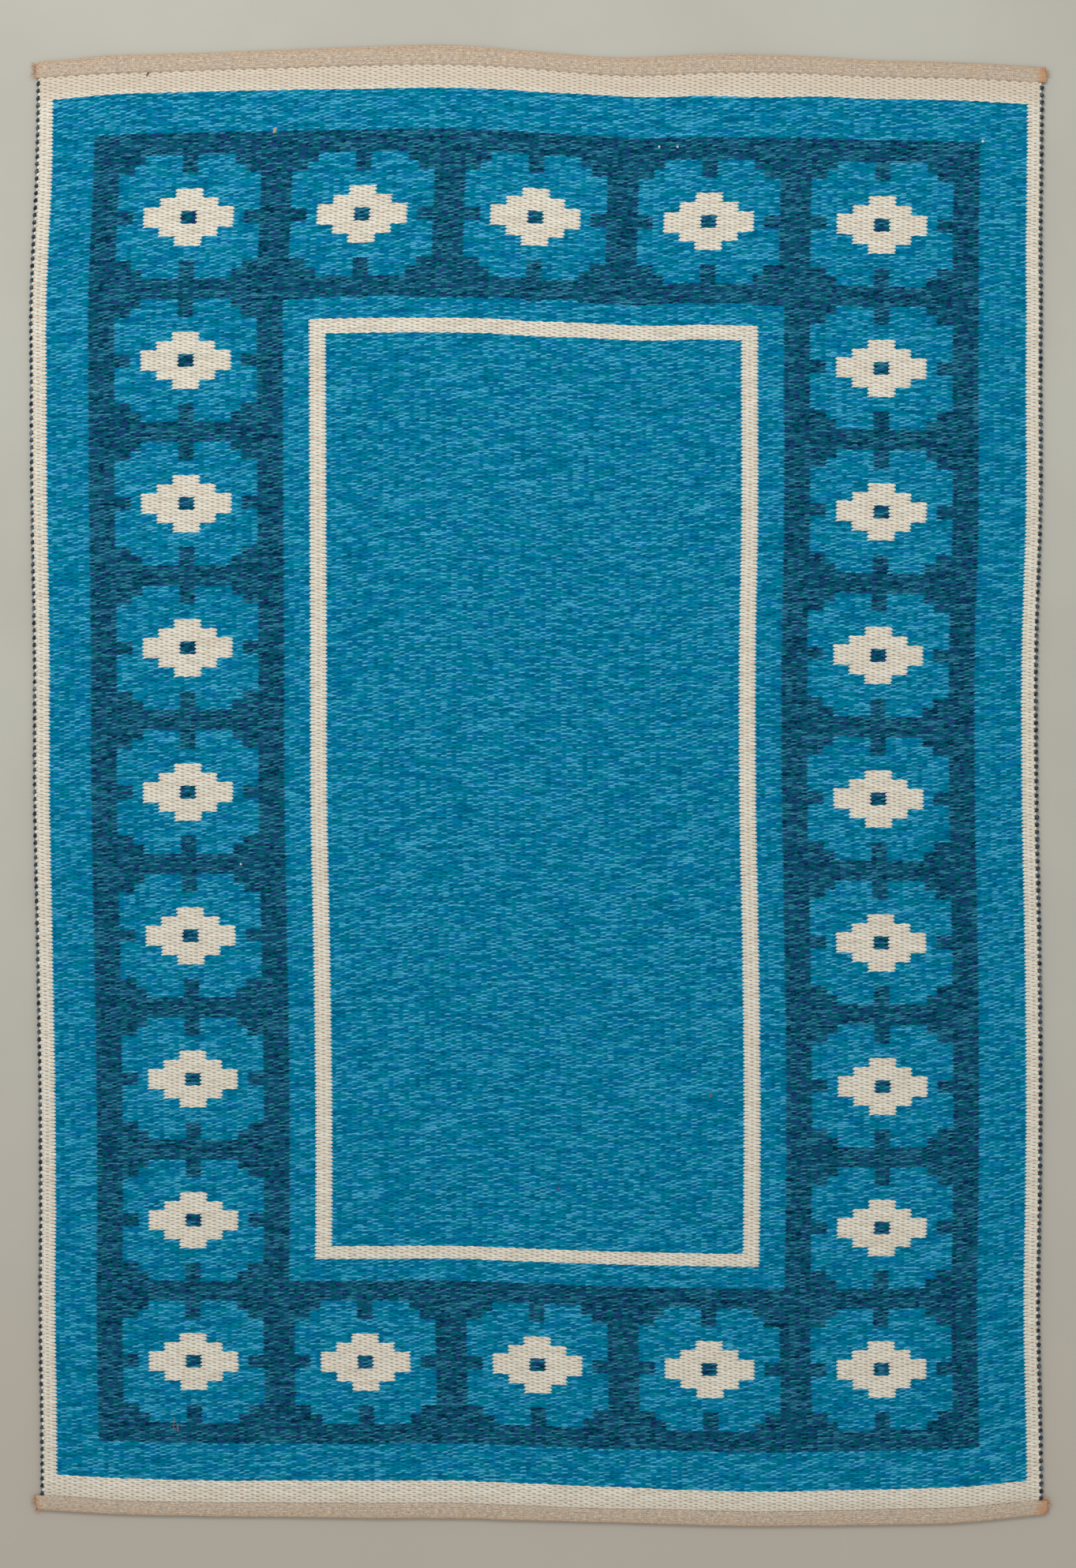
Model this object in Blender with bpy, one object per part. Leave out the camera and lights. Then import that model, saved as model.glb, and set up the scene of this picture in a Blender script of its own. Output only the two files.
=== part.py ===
"""A reversible double-woven rug lying flat.

One thick two-layer cloth, with a woven heading tape folded over each of its two ends.
Metres, +Z up. The rug lies in the XY plane with its length along Y, its underside at Z = 0 and
its origin under the middle.
"""

import math
from collections import namedtuple

import bmesh
import bpy

MM = 0.001

# Driving dimensions
HALF_LENGTH = 1.000
HALF_WIDTH = 0.685
CLOTH_THICKNESS = 0.0060
HEADING_DEPTH = 0.0250
HEADING_THICKNESS = 0.0050
TAPE_THICKNESS = 0.0012
OVERHANG_FAR = 0.0045
OVERHANG_NEAR = 0.0070
CORNER_RADIUS = 0.0080
CLEARANCE = 0.0003

# The cloth's ends are pressed thin where the heading tape closes over them
TONGUE_THICKNESS = HEADING_THICKNESS - 2 * (TAPE_THICKNESS + CLEARANCE)
TONGUE_SETBACK = 0.0050
TONGUE_SIDE_INSET = 0.0030

# Divisions of the grids. The cloth and the headings share one set of columns, so that their
# facing edges bend at the same places.
COLUMN_REACH = 0.6690
COLUMN_SPANS = 30
CLOTH_ROWS = 34
EDGE_STEPS = 5
CORNER_STEPS = 4
FOLD_STEPS = 6

# How far the real edges lie outside the nominal rectangle, in millimetres.
# along is the height of a station up the rug from its middle, also in millimetres.
SideStation = namedtuple("SideStation", "along left right")
SELVEDGES = (
    SideStation(-972, -7.2, 2.5),
    SideStation(-886, -6.7, 1.4),
    SideStation(-714, -4.5, -1.8),
    SideStation(-563, -5.1, 0.3),
    SideStation(-402, -4.0, 1.4),
    SideStation(-214, -0.8, -0.2),
    SideStation(-20, 3.0, -4.0),
    SideStation(189, 3.5, -4.5),
    SideStation(383, 6.8, 1.4),
    SideStation(571, 7.8, 1.4),
    SideStation(662, 8.0, 1.9),
    SideStation(748, 4.6, 1.4),
    SideStation(834, 0.3, 2.5),
    SideStation(963, -1.8, 3.5),
)

# across is the distance of a station from the rug's middle line, in millimetres
EndStation = namedtuple("EndStation", "across near far")
ENDS = (
    EndStation(-690, -13.0, -13.5),
    EndStation(-575, -7.0, -4.0),
    EndStation(-460, -4.5, -1.0),
    EndStation(-345, -3.0, 3.5),
    EndStation(-230, -1.6, 7.7),
    EndStation(-115, -1.3, 9.5),
    EndStation(0, 2.0, 0.5),
    EndStation(115, 4.6, -7.5),
    EndStation(230, 8.4, -3.0),
    EndStation(345, 9.0, -4.5),
    EndStation(460, 7.6, -11.0),
    EndStation(575, 4.8, -14.0),
    EndStation(690, -6.0, -20.0),
)

# Finishes: linear colour and roughness
Finish = namedtuple("Finish", "colour roughness")
CLOTH_FINISH = Finish((0.012, 0.165, 0.310), 0.92)
HEADING_FINISH = Finish((0.480, 0.365, 0.245), 0.90)


def wander(stations, column, at_mm):
    """Read a column of a table at a place between its stations, on a Catmull-Rom curve."""
    places = [station[0] for station in stations]
    values = [getattr(station, column) for station in stations]
    last = len(stations) - 1
    at_mm = min(max(at_mm, places[0]), places[last])
    low = max(i for i in range(last) if places[i] <= at_mm)
    share = (at_mm - places[low]) / (places[low + 1] - places[low])
    before = values[max(low - 1, 0)]
    start = values[low]
    end = values[low + 1]
    after = values[min(low + 2, last)]
    slope_in = (end - before) / 2
    slope_out = (after - start) / 2
    square = share * share
    cube = square * share
    return (
        (2 * cube - 3 * square + 1) * start
        + (cube - 2 * square + share) * slope_in
        + (3 * square - 2 * cube) * end
        + (cube - square) * slope_out
    )


def left_edge(y):
    return -HALF_WIDTH - wander(SELVEDGES, "left", y / MM) * MM


def right_edge(y):
    return HALF_WIDTH + wander(SELVEDGES, "right", y / MM) * MM


def near_fold(x):
    return -HALF_LENGTH - wander(ENDS, "near", x / MM) * MM


def far_fold(x):
    return HALF_LENGTH + wander(ENDS, "far", x / MM) * MM


def columns():
    step = 2 * COLUMN_REACH / COLUMN_SPANS
    return [-COLUMN_REACH + i * step for i in range(COLUMN_SPANS + 1)]


def new_object(name, bm, finish, parent):
    """Turn a bmesh into a named object with its own material, under the rug's empty."""
    bmesh.ops.recalc_face_normals(bm, faces=bm.faces)
    mesh = bpy.data.meshes.new(name)
    bm.to_mesh(mesh)
    bm.free()
    material = bpy.data.materials.new(name)
    material.use_nodes = True
    shader = material.node_tree.nodes["Principled BSDF"]
    shader.inputs["Base Color"].default_value = (*finish.colour, 1.0)
    shader.inputs["Roughness"].default_value = finish.roughness
    shader.inputs["Metallic"].default_value = 0.0
    mesh.materials.append(material)
    mesh.shade_smooth()
    mesh.set_sharp_from_angle(angle=math.radians(35))
    thing = bpy.data.objects.new(name, mesh)
    bpy.context.scene.collection.objects.link(thing)
    thing.parent = parent
    return thing


def bridge(bm, ring, next_ring):
    """Close the wall between two rings of the same number of points."""
    count = len(ring)
    for i in range(count):
        j = (i + 1) % count
        bm.faces.new((ring[i], ring[j], next_ring[j], next_ring[i]))


def cap(bm, ring):
    """Close a flat ring whose second half runs back above its first half."""
    half = len(ring) // 2
    for i in range(half - 1):
        mirror = len(ring) - 1 - i
        bm.faces.new((ring[i], ring[i + 1], ring[mirror - 1], ring[mirror]))


def cloth_ring(share, thickness, underside, side_inset, end_setback):
    """The cloth's closed section across the rug, at a share of its length.

    The ring runs along the underside from the left selvedge to the right one and back over the
    top. Each selvedge is a round edge of half the thickness.
    """
    radius = thickness / 2
    middle = underside + radius
    nominal = (2 * share - 1) * (HALF_LENGTH - end_setback)
    left = left_edge(nominal) + side_inset + radius
    right = right_edge(nominal) - side_inset - radius
    flat = [left, *columns(), right]
    turn = [math.radians(-90 + 90 * (i + 0.5) / EDGE_STEPS) for i in range(EDGE_STEPS)]
    lower = [(left - radius * math.cos(a), middle + radius * math.sin(a)) for a in reversed(turn)]
    lower += [(x, underside) for x in flat]
    lower += [(right + radius * math.cos(a), middle + radius * math.sin(a)) for a in turn]
    upper = [(x, 2 * middle - z) for x, z in reversed(lower)]
    ring = []
    for x, z in lower + upper:
        near = near_fold(x) + end_setback
        far = far_fold(x) - end_setback
        ring.append((x, near + (far - near) * share, z))
    return ring


def make_cloth(parent):
    """The body of the rug, with a thin tongue at each end that the headings close over."""
    bm = bmesh.new()
    shoulder = HEADING_DEPTH + CLEARANCE
    tongue_low = (HEADING_THICKNESS - TONGUE_THICKNESS) / 2
    tongue = {"thickness": TONGUE_THICKNESS, "underside": tongue_low, "side_inset": TONGUE_SIDE_INSET}
    body = {"thickness": CLOTH_THICKNESS, "underside": 0.0, "side_inset": 0.0}
    sections = [(0.0, {**tongue, "end_setback": TONGUE_SETBACK})]
    sections.append((0.0, {**tongue, "end_setback": shoulder}))
    for i in range(CLOTH_ROWS + 1):
        sections.append((i / CLOTH_ROWS, {**body, "end_setback": shoulder}))
    sections.append((1.0, {**tongue, "end_setback": shoulder}))
    sections.append((1.0, {**tongue, "end_setback": TONGUE_SETBACK}))
    rings = []
    for share, section in sections:
        rings.append([bm.verts.new(point) for point in cloth_ring(share, **section)])
    for ring, next_ring in zip(rings, rings[1:]):
        bridge(bm, ring, next_ring)
    cap(bm, rings[0])
    cap(bm, rings[-1])
    return new_object("rug_cloth", bm, CLOTH_FINISH, parent)


def heading_section(corner_inset):
    """The folded tape in section, as (distance in from the fold line, height).

    It runs down the outside, round the fold, and back along the inside, one tape lower.
    """
    radius = HEADING_THICKNESS / 2
    inner_radius = radius - TAPE_THICKNESS
    centre = radius + corner_inset
    turn = [math.radians(90 + 180 * i / FOLD_STEPS) for i in range(FOLD_STEPS + 1)]
    outside = [(HEADING_DEPTH, HEADING_THICKNESS)]
    outside += [(centre + radius * math.cos(a), radius + radius * math.sin(a)) for a in turn]
    outside += [(HEADING_DEPTH, 0.0)]
    inside = [(HEADING_DEPTH, HEADING_THICKNESS - TAPE_THICKNESS)]
    inside += [
        (centre + inner_radius * math.cos(a), radius + inner_radius * math.sin(a)) for a in turn
    ]
    inside += [(HEADING_DEPTH, TAPE_THICKNESS)]
    return outside + inside[::-1]


def heading_places(left, right):
    """Distances along the heading, close together at its rounded corners, with their inset."""
    places = []
    for i in range(CORNER_STEPS):
        angle = math.radians(90 * i / CORNER_STEPS)
        inset = CORNER_RADIUS * (1 - math.sin(angle))
        places.append((left + CORNER_RADIUS * (1 - math.cos(angle)), inset))
    corner = list(places)
    places.append((left + CORNER_RADIUS, 0.0))
    places += [(x, 0.0) for x in columns()]
    places.append((right - CORNER_RADIUS, 0.0))
    places += [(right - (x - left), inset) for x, inset in reversed(corner)]
    return places


def make_heading(name, fold_line, towards_middle, overhang, parent):
    """A strip of tape folded lengthwise over the pressed end of the cloth."""
    bm = bmesh.new()
    cloth_end = fold_line(0.0) + towards_middle * HEADING_DEPTH
    left = left_edge(cloth_end) - overhang
    right = right_edge(cloth_end) + overhang
    rings = []
    for x, inset in heading_places(left, right):
        fold = fold_line(x)
        section = heading_section(inset)
        rings.append([bm.verts.new((x, fold + towards_middle * d, z)) for d, z in section])
    for ring, next_ring in zip(rings, rings[1:]):
        bridge(bm, ring, next_ring)
    cap(bm, rings[0])
    cap(bm, rings[-1])
    return new_object(name, bm, HEADING_FINISH, parent)


def main():
    for thing in list(bpy.data.objects):
        bpy.data.objects.remove(thing, do_unlink=True)
    rug = bpy.data.objects.new("rug", None)
    bpy.context.scene.collection.objects.link(rug)
    make_cloth(rug)
    make_heading("heading_near", near_fold, 1, OVERHANG_NEAR, rug)
    make_heading("heading_far", far_fold, -1, OVERHANG_FAR, rug)


main()
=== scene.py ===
"""Looks of the reversible double-woven rug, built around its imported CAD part.

The rug is drawn as its weaver counts it. A place on the cloth is a warp number, 0 to 192 from the
left selvedge to the right one, and a row number, 0 to 780 from the far heading to the near one. The
cloth's mesh carries both as the UV map "threads", and the wool material reads its weave, its border
chart and its marled yarn from there. Metres, +Z up.
"""

import math
from collections import namedtuple

import bpy
import numpy as np
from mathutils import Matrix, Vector, noise


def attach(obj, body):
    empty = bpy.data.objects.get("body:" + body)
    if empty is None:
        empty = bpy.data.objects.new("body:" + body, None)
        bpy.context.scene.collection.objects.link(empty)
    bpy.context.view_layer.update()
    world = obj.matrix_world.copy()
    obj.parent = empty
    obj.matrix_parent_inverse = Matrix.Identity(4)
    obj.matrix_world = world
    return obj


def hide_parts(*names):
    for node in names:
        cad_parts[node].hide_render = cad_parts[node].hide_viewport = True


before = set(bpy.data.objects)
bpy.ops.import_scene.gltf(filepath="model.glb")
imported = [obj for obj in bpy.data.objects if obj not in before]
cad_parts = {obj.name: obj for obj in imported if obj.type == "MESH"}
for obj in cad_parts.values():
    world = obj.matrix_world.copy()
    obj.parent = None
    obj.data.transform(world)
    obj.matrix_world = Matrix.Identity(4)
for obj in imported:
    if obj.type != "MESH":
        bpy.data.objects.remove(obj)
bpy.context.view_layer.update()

MM = 0.001

# The rug's own measures, as its solids have them
HALF_LENGTH = 1.000
HALF_WIDTH = 0.685
CLOTH_THICKNESS = 0.0060
HEADING_DEPTH = 0.0250
HEADING_THICKNESS = 0.0050
TAPE_THICKNESS = 0.0012
CORNER_RADIUS = 0.0080

# The thread count
WARPS = 192
ROWS = 780
ROWS_PER_RING = 4
TURN_ROWS = 4

# The cloth stops short of its selvedge lines, and the weft turns reach them
SIDE_INSET = 4.2 * MM
LEFT_MARGIN = 1.3 * MM

# How far the real edges lie outside the nominal rectangle, in millimetres
SideStation = namedtuple("SideStation", "along left right")
SELVEDGES = (
    SideStation(-972, -7.2, 2.5),
    SideStation(-886, -6.7, 1.4),
    SideStation(-714, -4.5, -1.8),
    SideStation(-563, -5.1, 0.3),
    SideStation(-402, -4.0, 1.4),
    SideStation(-214, -0.8, -0.2),
    SideStation(-20, 3.0, -4.0),
    SideStation(189, 3.5, -4.5),
    SideStation(383, 6.8, 1.4),
    SideStation(571, 7.8, 1.4),
    SideStation(662, 8.0, 1.9),
    SideStation(748, 4.6, 1.4),
    SideStation(834, 0.3, 2.5),
    SideStation(963, -1.8, 3.5),
)
EndStation = namedtuple("EndStation", "across near far")
ENDS = (
    EndStation(-690, -13.0, -13.5),
    EndStation(-575, -7.0, -4.0),
    EndStation(-460, -4.5, -1.0),
    EndStation(-345, -3.0, 3.5),
    EndStation(-230, -1.6, 7.7),
    EndStation(-115, -1.3, 9.5),
    EndStation(0, 2.0, 0.5),
    EndStation(115, 4.6, -7.5),
    EndStation(230, 8.4, -3.0),
    EndStation(345, 9.0, -4.5),
    EndStation(460, 7.6, -11.0),
    EndStation(575, 4.8, -14.0),
    EndStation(690, -6.0, -20.0),
)

# How far the beating-up has pushed the rows down the rug, in millimetres, at warps across it
DRIFT_WARPS = (3, 18, 33, 48, 63, 78, 93, 108, 123, 138, 153, 168, 183)
DRIFT_ROWS = (0, 12, 80, 130, 236, 392, 548, 704, 749, 769, 780)
DRIFT = (
    (-2.5, 0.4, -0.9, 0.2, 1.0, 2.0, -1.0, -0.5, 1.1, 0.1, -1.5, -2.6, -3.6),
    (-2.3, -2.5, -2.8, -0.9, 1.6, 2.4, -1.2, -3.8, 0.3, 2.2, -2.6, -4.0, -3.9),
    (-1.0, -0.8, -0.5, 0.9, 2.6, 2.8, 0.6, -1.2, 2.4, 2.6, 0.6, 0.1, 0.2),
    (-1.2, -0.8, -0.2, 2.0, 3.0, 4.4, 1.6, -2.0, 1.2, 2.8, 1.2, -0.4, -0.6),
    (0.0, 0.4, 0.6, 0.8, 1.2, 1.6, 1.8, 1.6, 1.4, 1.4, 1.4, 1.8, 2.0),
    (5.4, 5.4, 5.2, 5.0, 4.6, 4.4, 4.2, 4.0, 3.8, 3.6, 3.4, 3.4, 3.4),
    (7.8, 7.6, 7.4, 6.6, 5.2, 4.8, 4.6, 4.8, 5.0, 5.4, 5.8, 6.2, 6.4),
    (3.2, 3.0, 2.6, 2.2, 1.9, 1.9, 1.9, 2.0, 2.0, 2.0, 1.9, 1.8, 1.7),
    (3.0, 3.0, 3.2, 2.6, 2.6, 1.4, 0.6, 2.6, 1.8, 3.2, 1.8, 1.4, 0.6),
    (3.2, 3.3, 4.2, 2.8, 1.6, 1.6, 2.2, 4.3, 5.3, 6.3, 5.3, 4.2, 4.2),
    (4.2, 6.0, 6.2, 5.0, 4.4, 3.8, 4.8, 6.4, 4.3, 5.2, 4.2, 3.2, 4.2),
)

# The chart. Each band covers what comes before it, from a left warp to a right warp and from a
# top row to a bottom row.
Band = namedtuple("Band", "yarn left right top bottom")
OUTER_BANDS = (
    Band("blue", 3, 189, 12, 769),
    Band("dark", 11, 180, 34, 749),
)
INNER_BANDS = (
    Band("blue", 48, 143, 125, 660),
    Band("cream", 53, 138, 136, 648),
    Band("blue", 56, 135, 144, 641),
)

# Small marks and stray thread ends on the upper face, each with its place and half size in
# millimetres and its lean in degrees
Fleck = namedtuple("Fleck", "x y half_width half_height lean colour")
FLECKS = (
    Fleck(-358.5, 893.4, 1.9, 4.2, 20, (196, 158, 112)),
    Fleck(-531.6, 969.7, 1.6, 3.6, 25, (58, 48, 52)),
    Fleck(165.0, 870.8, 1.6, 1.6, 0, (206, 206, 200)),
    Fleck(190.0, 870.8, 1.6, 1.6, 0, (206, 206, 200)),
    Fleck(-404.8, -106.4, 1.5, 1.5, 0, (206, 208, 204)),
    Fleck(605.8, 878.4, 1.8, 1.8, 0, (214, 214, 208)),
    Fleck(-496.0, -870.0, 0.8, 9.0, 6, (128, 84, 82)),
    Fleck(-490.5, -874.0, 0.8, 6.0, -5, (150, 110, 100)),
    Fleck(234.9, -421.4, 2.0, 3.0, 30, (112, 92, 92)),
    Fleck(28.5, -548.2, 1.8, 1.4, 0, (142, 70, 84)),
)

# The border's motif repeats. A step is how many warps and rows it reaches from the motif's middle.
FIRST_MOTIF_WARP = 29.5
FIRST_MOTIF_ROW = 80
MOTIF_WARPS = 33
MOTIF_ROWS = 78
MOTIFS_ACROSS = 5
MOTIFS_ALONG = 9
Step = namedtuple("Step", "warps rows")
MEDALLION = (Step(13.5, 23.5), Step(10.5, 28.5), Step(8.5, 33.5))
LOZENGE = (Step(8.5, 5.5), Step(5.5, 10.5), Step(2.5, 15.5))
EYE = Step(1.5, 3.5)
TICK_START = Step(10.5, 23)

# The pressed ends of the cloth inside the headings
TONGUE_LOW = 1.6 * MM
TONGUE_HIGH = 3.4 * MM
TONGUE_REACH = 14.0 * MM
TONGUE_SIDE_INSET = 5.5 * MM


def wander(stations, column, at):
    """Read a column of a table at places between its stations, on a Catmull-Rom curve."""
    places = np.array([station[0] for station in stations], float)
    values = np.array([getattr(station, column) for station in stations], float)
    last = len(stations) - 1
    at = np.clip(at, places[0], places[last])
    low = np.clip(np.searchsorted(places, at, side="right") - 1, 0, last - 1)
    share = (at - places[low]) / (places[low + 1] - places[low])
    before = values[np.maximum(low - 1, 0)]
    start = values[low]
    end = values[low + 1]
    after = values[np.minimum(low + 2, last)]
    slope_in = (end - before) / 2
    slope_out = (after - start) / 2
    square = share * share
    cube = square * share
    return (
        (2 * cube - 3 * square + 1) * start
        + (cube - 2 * square + share) * slope_in
        + (3 * square - 2 * cube) * end
        + (cube - square) * slope_out
    )


def left_edge(y):
    return -HALF_WIDTH - wander(SELVEDGES, "left", y / MM) * MM


def right_edge(y):
    return HALF_WIDTH + wander(SELVEDGES, "right", y / MM) * MM


def near_fold(x):
    return -HALF_LENGTH - wander(ENDS, "near", x / MM) * MM


def far_fold(x):
    return HALF_LENGTH + wander(ENDS, "far", x / MM) * MM


def ripple(place, scale, seed):
    """A smooth unevenness between about -1 and 1, the same each run."""
    return noise.noise(Vector((place[0] * scale, place[1] * scale, seed)))


def row_drift(warp, row):
    """Read the drift table between its stations."""
    table = np.array(DRIFT)
    warps = np.array(DRIFT_WARPS, float)
    rows = np.array(DRIFT_ROWS, float)
    across = np.interp(warp, warps, np.arange(len(warps)))
    down = np.interp(row, rows, np.arange(len(rows)))
    left = np.clip(np.floor(across).astype(int), 0, len(warps) - 2)
    top = np.clip(np.floor(down).astype(int), 0, len(rows) - 2)
    fx = across - left
    fx = fx * fx * (3 - 2 * fx)
    fy = down - top
    upper = table[top, left] * (1 - fx) + table[top, left + 1] * fx
    lower = table[top + 1, left] * (1 - fx) + table[top + 1, left + 1] * fx
    return upper * (1 - fy) + lower * fy


def thread_place(warp, row):
    """Where a warp number and a row number meet on the rug, in metres."""
    warp = np.asarray(warp, float)
    row = np.asarray(row, float)
    side = warp / WARPS
    share = 1 - row / ROWS
    level = (2 * share - 1) * (HALF_LENGTH - HEADING_DEPTH)
    left = left_edge(level) + LEFT_MARGIN
    x = left + (right_edge(level) - left) * side
    near = near_fold(x) + HEADING_DEPTH
    far = far_fold(x) - HEADING_DEPTH
    return x, near + (far - near) * share - row_drift(warp, row) * MM


def mesh_piece(name, points, faces, material, maps=None, values=None):
    """A smooth mesh object at the origin, with its UV maps and point values."""
    mesh = bpy.data.meshes.new(name)
    mesh.from_pydata([tuple(p) for p in points], [], faces)
    corners = np.zeros(len(mesh.loops), int)
    mesh.loops.foreach_get("vertex_index", corners)
    for label, places in (maps or {}).items():
        layer = mesh.uv_layers.new(name=label)
        layer.data.foreach_set("uv", np.asarray(places, np.float32)[corners].ravel())
    for label, numbers in (values or {}).items():
        attribute = mesh.attributes.new(label, "FLOAT", "POINT")
        attribute.data.foreach_set("value", np.asarray(numbers, np.float32))
    mesh.materials.append(material)
    mesh.shade_smooth()
    mesh.validate()
    thing = bpy.data.objects.new(name, mesh)
    bpy.context.scene.collection.objects.link(thing)
    return thing


def tube_faces(rings, around, closed=True):
    """The walls between rings of equally many points, and the two flat ends of a doubled ring."""
    faces = []
    for j in range(rings - 1):
        here = j * around
        there = here + around
        for a in range(around):
            b = (a + 1) % around
            faces.append((here + a, here + b, there + b, there + a))
    if closed:
        last = (rings - 1) * around
        for a in range(around // 2 - 1):
            mirror = around - 1 - a
            faces.append((a, mirror, mirror - 1, a + 1))
            faces.append((last + a, last + a + 1, last + mirror - 1, last + mirror))
    return faces


# Wiring of node trees


class Wiring:
    """Short words for placing and joining the nodes of one tree."""

    def __init__(self, tree):
        self.tree = tree

    def node(self, kind, **settings):
        made = self.tree.nodes.new(kind)
        for name, value in settings.items():
            setattr(made, name, value)
        return made

    def fit(self, kind, inputs, **settings):
        """Place a node and feed its sockets, each by its name or number."""
        made = self.node(kind, **settings)
        for key, value in inputs.items():
            self.feed(made.inputs[key], value)
        return made

    def feed(self, socket, value):
        if isinstance(value, bpy.types.Node):
            value = value.outputs[0]
        if isinstance(value, bpy.types.NodeSocket):
            self.tree.links.new(value, socket)
        elif value is not None:
            if socket.type == "RGBA" and len(value) == 3:
                value = (*value, 1.0)
            socket.default_value = value

    def math(self, operation, *values):
        made = self.node("ShaderNodeMath", operation=operation)
        for socket, value in zip(made.inputs, values):
            self.feed(socket, value)
        return made.outputs[0]

    def add(self, a, b):
        return self.math("ADD", a, b)

    def take(self, a, b):
        return self.math("SUBTRACT", a, b)

    def times(self, a, b):
        return self.math("MULTIPLY", a, b)

    def most(self, a, b):
        return self.math("MAXIMUM", a, b)

    def below(self, a, b):
        return self.math("LESS_THAN", a, b)

    def above(self, a, b):
        return self.math("GREATER_THAN", a, b)

    def spread(self, value, low, high, start=0.0, end=1.0):
        """Turn low..high into start..end, smoothly and without passing either."""
        made = self.node("ShaderNodeMapRange", interpolation_type="SMOOTHSTEP")
        for socket, number in zip(made.inputs, (value, low, high, start, end)):
            self.feed(socket, number)
        return made.outputs[0]

    def mix(self, share, low, high, way="MIX"):
        made = self.fit(
            "ShaderNodeMix", {0: share, 6: low, 7: high}, data_type="RGBA", blend_type=way
        )
        return made.outputs[2]

    def blend(self, share, low, high):
        return self.fit("ShaderNodeMix", {0: share, 2: low, 3: high}, data_type="FLOAT").outputs[0]

    def shade(self, colour, value):
        """Darken or lighten a colour by a value."""
        return self.mix(1.0, colour, self.join(value, value, value), way="MULTIPLY")

    def join(self, x=0.0, y=0.0, z=0.0):
        made = self.node("ShaderNodeCombineXYZ")
        for socket, value in zip(made.inputs, (x, y, z)):
            self.feed(socket, value)
        return made.outputs[0]

    def part(self, vector):
        made = self.node("ShaderNodeSeparateXYZ")
        self.feed(made.inputs[0], vector)
        return made.outputs

    def cloud(self, vector, scale=1.0, detail=0.0, rough=0.5):
        """Smooth noise, most of it between 0.3 and 0.7."""
        inputs = {"Vector": vector, "Scale": scale, "Detail": detail, "Roughness": rough}
        return self.fit("ShaderNodeTexNoise", inputs).outputs["Fac"]

    def stray(self, vector, scale):
        """Three smooth noises at once, each about 0.5."""
        inputs = {"Vector": vector, "Scale": scale, "Detail": 1.0}
        return self.part(self.fit("ShaderNodeTexNoise", inputs).outputs["Color"])

    def chance(self, vector):
        return self.fit("ShaderNodeTexWhiteNoise", {"Vector": vector}).outputs["Value"]

    def group(self, tree, **values):
        made = self.node("ShaderNodeGroup", node_tree=tree)
        for name, value in values.items():
            self.feed(made.inputs[name.replace("_", " ").capitalize()], value)
        return made.outputs

    def raise_bumps(self, height, distance):
        return self.fit("ShaderNodeBump", {"Distance": distance, "Height": height}).outputs[0]


SOCKETS = {"value": "NodeSocketFloat", "colour": "NodeSocketColor", "vector": "NodeSocketVector"}


def shader_group(name, given, results):
    """A named shader group, open for wiring: its wires, its given sockets and its results.

    A given number makes a value socket, three numbers make a colour and None makes a vector.
    """
    tree = bpy.data.node_groups.new(name, "ShaderNodeTree")
    for label, default in given.items():
        kind = "vector" if default is None else "colour" if isinstance(default, tuple) else "value"
        socket = tree.interface.new_socket(label, in_out="INPUT", socket_type=SOCKETS[kind])
        if default is not None:
            socket.default_value = (*default, 1.0) if kind == "colour" else default
    for label, kind in results.items():
        tree.interface.new_socket(label, in_out="OUTPUT", socket_type=SOCKETS[kind])
    wires = Wiring(tree)
    return wires, wires.node("NodeGroupInput").outputs, wires.node("NodeGroupOutput").inputs


def srgb(red, green, blue):
    """A colour as a screen shows it, 0 to 255, as the linear one that shaders use."""
    shares = [value / 255 for value in (red, green, blue)]
    return tuple(c / 12.92 if c <= 0.04045 else ((c + 0.055) / 1.055) ** 2.4 for c in shares)


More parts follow.
